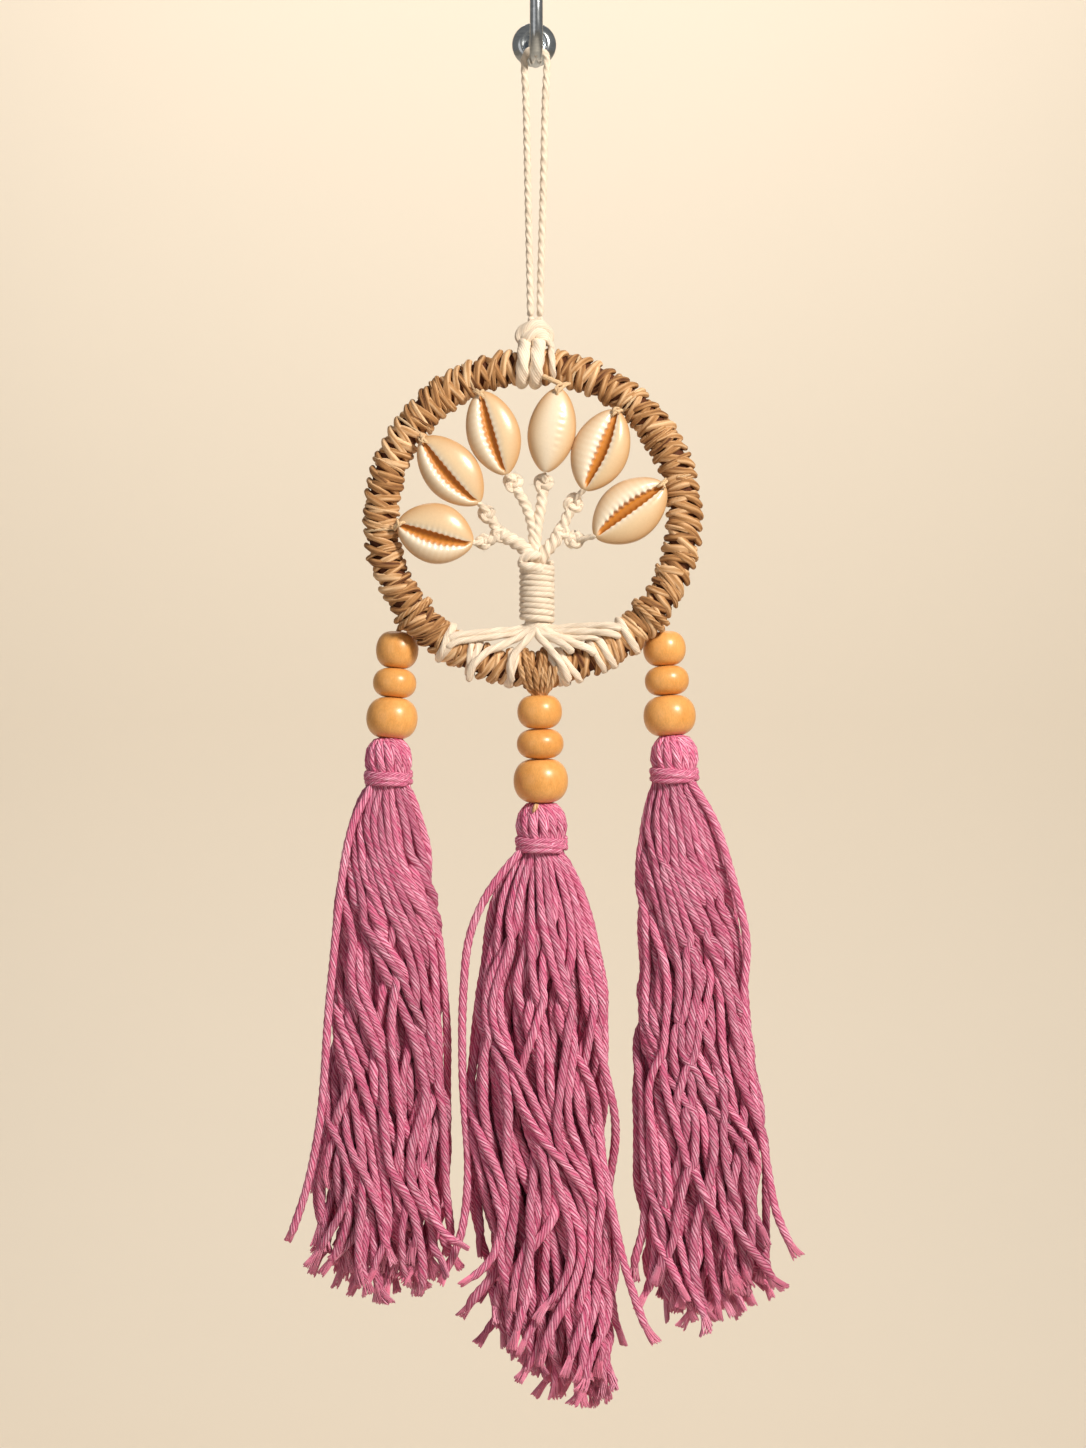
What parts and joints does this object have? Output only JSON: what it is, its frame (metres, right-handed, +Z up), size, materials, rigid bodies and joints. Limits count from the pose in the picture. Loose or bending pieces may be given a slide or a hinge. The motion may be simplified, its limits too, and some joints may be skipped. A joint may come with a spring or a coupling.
{
  "type": "dreamcatcher on wall hook",
  "caption": "Small round dreamcatcher on a wall hook: raffia-wrapped hoop, a knotted cotton tree under cowrie shells, and yarn tassels on wooden beads.",
  "frame": {"origin": "middle of the hook plate's back face, on the wall", "axes": "+Z up, +Y into the wall, so the front looks along -Y; +X to the right as seen from the front"},
  "size_m": [0.1381, 0.0293, 0.424],
  "materials": {
    "steel": "polished steel",
    "cotton": "matt twisted cotton",
    "raffia": "dry paper raffia",
    "shell": "glossy natural shell",
    "wood": "satin varnish",
    "yarn": "soft plied yarn"
  },
  "bodies": {
    "root": {"bead_cord_left": "raffia", "bead_cord_middle": "raffia", "bead_cord_right": "raffia", "bead_left_1": "wood", "bead_left_2": "wood", "bead_left_3": "wood", "bead_middle_1": "wood", "bead_middle_2": "wood", "bead_middle_3": "wood", "bead_right_1": "wood", "bead_right_2": "wood", "bead_right_3": "wood", "hanging_loop": "cotton", "hook_plate": "steel", "hook_rod": "steel", "hoop": "raffia", "shell_1": "shell", "shell_2": "shell", "shell_3": "shell", "shell_4": "shell", "shell_5": "shell", "shell_6": "shell", "shell_tie_1": "cotton", "shell_tie_2": "cotton", "shell_tie_3": "cotton", "shell_tie_4": "cotton", "shell_tie_5": "cotton", "shell_tie_6": "cotton", "tassel_band_left": "yarn", "tassel_band_middle": "yarn", "tassel_band_right": "yarn", "tassel_left": "yarn", "tassel_middle": "yarn", "tassel_right": "yarn", "top_knot": "cotton", "tree_cords": "cotton", "trunk_wrap": "cotton"}
  },
  "joints": []
}
